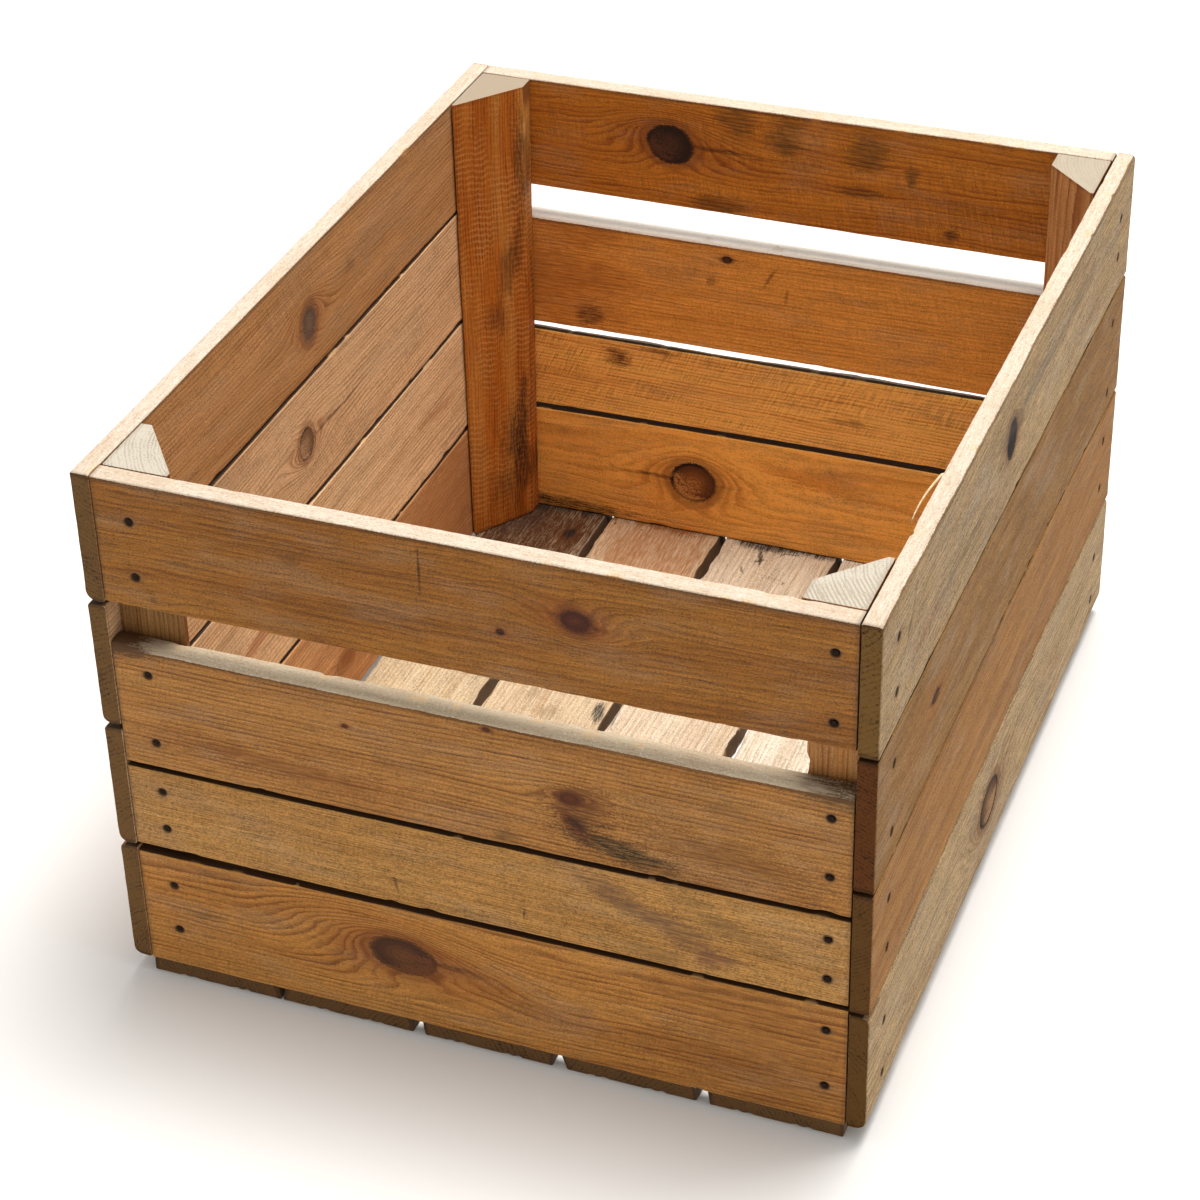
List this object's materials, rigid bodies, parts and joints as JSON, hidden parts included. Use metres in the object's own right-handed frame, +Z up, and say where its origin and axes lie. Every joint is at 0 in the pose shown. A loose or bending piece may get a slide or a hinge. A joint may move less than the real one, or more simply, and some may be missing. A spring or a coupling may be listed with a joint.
{
  "type": "wooden apple crate",
  "caption": "Open wooden harvest crate with slatted board walls nailed to corner posts, a gapped board floor and a hand slot in each end wall.",
  "frame": {"origin": "on the ground under the middle of the floor", "axes": "+Y along the crate's length from its front end wall to its back end wall, +Z up, +X to the right seen from the front"},
  "size_m": [0.4056, 0.5, 0.31],
  "materials": {
    "end_wall_pine": "rough sawn, weathered honey brown",
    "side_wall_pine": "rough sawn, weathered tan to grey",
    "floor_pine": "rough sawn, waney edges",
    "post_pine": "rough sawn, pale end grain",
    "nail_steel": "dull, darkened by rust"
  },
  "bodies": {
    "root": {"front_wall_board_1": "end_wall_pine", "front_wall_board_2": "end_wall_pine", "front_wall_board_3": "end_wall_pine", "front_wall_board_4": "end_wall_pine", "back_wall_board_1": "end_wall_pine", "back_wall_board_2": "end_wall_pine", "back_wall_board_3": "end_wall_pine", "back_wall_board_4": "end_wall_pine", "left_wall_board_1": "side_wall_pine", "left_wall_board_2": "side_wall_pine", "left_wall_board_3": "side_wall_pine", "left_wall_board_4": "side_wall_pine", "right_wall_board_1": "side_wall_pine", "right_wall_board_2": "side_wall_pine", "right_wall_board_3": "side_wall_pine", "right_wall_board_4": "side_wall_pine", "floor_board_1": "floor_pine", "floor_board_2": "floor_pine", "floor_board_3": "floor_pine", "floor_board_4": "floor_pine", "floor_board_5": "floor_pine", "corner_post_front_left": "post_pine", "corner_post_front_right": "post_pine", "corner_post_back_left": "post_pine", "corner_post_back_right": "post_pine", "nail_front_left_1": "nail_steel", "nail_front_left_2": "nail_steel", "nail_front_left_3": "nail_steel", "nail_front_left_4": "nail_steel", "nail_front_left_5": "nail_steel", "nail_front_left_6": "nail_steel", "nail_front_left_7": "nail_steel", "nail_front_left_8": "nail_steel", "nail_front_right_1": "nail_steel", "nail_front_right_2": "nail_steel", "nail_front_right_3": "nail_steel", "nail_front_right_4": "nail_steel", "nail_front_right_5": "nail_steel", "nail_front_right_6": "nail_steel", "nail_front_right_7": "nail_steel", "nail_front_right_8": "nail_steel", "nail_back_left_1": "nail_steel", "nail_back_left_2": "nail_steel", "nail_back_left_3": "nail_steel", "nail_back_left_4": "nail_steel", "nail_back_left_5": "nail_steel", "nail_back_left_6": "nail_steel", "nail_back_left_7": "nail_steel", "nail_back_left_8": "nail_steel", "nail_back_right_1": "nail_steel", "nail_back_right_2": "nail_steel", "nail_back_right_3": "nail_steel", "nail_back_right_4": "nail_steel", "nail_back_right_5": "nail_steel", "nail_back_right_6": "nail_steel", "nail_back_right_7": "nail_steel", "nail_back_right_8": "nail_steel"}
  },
  "joints": []
}
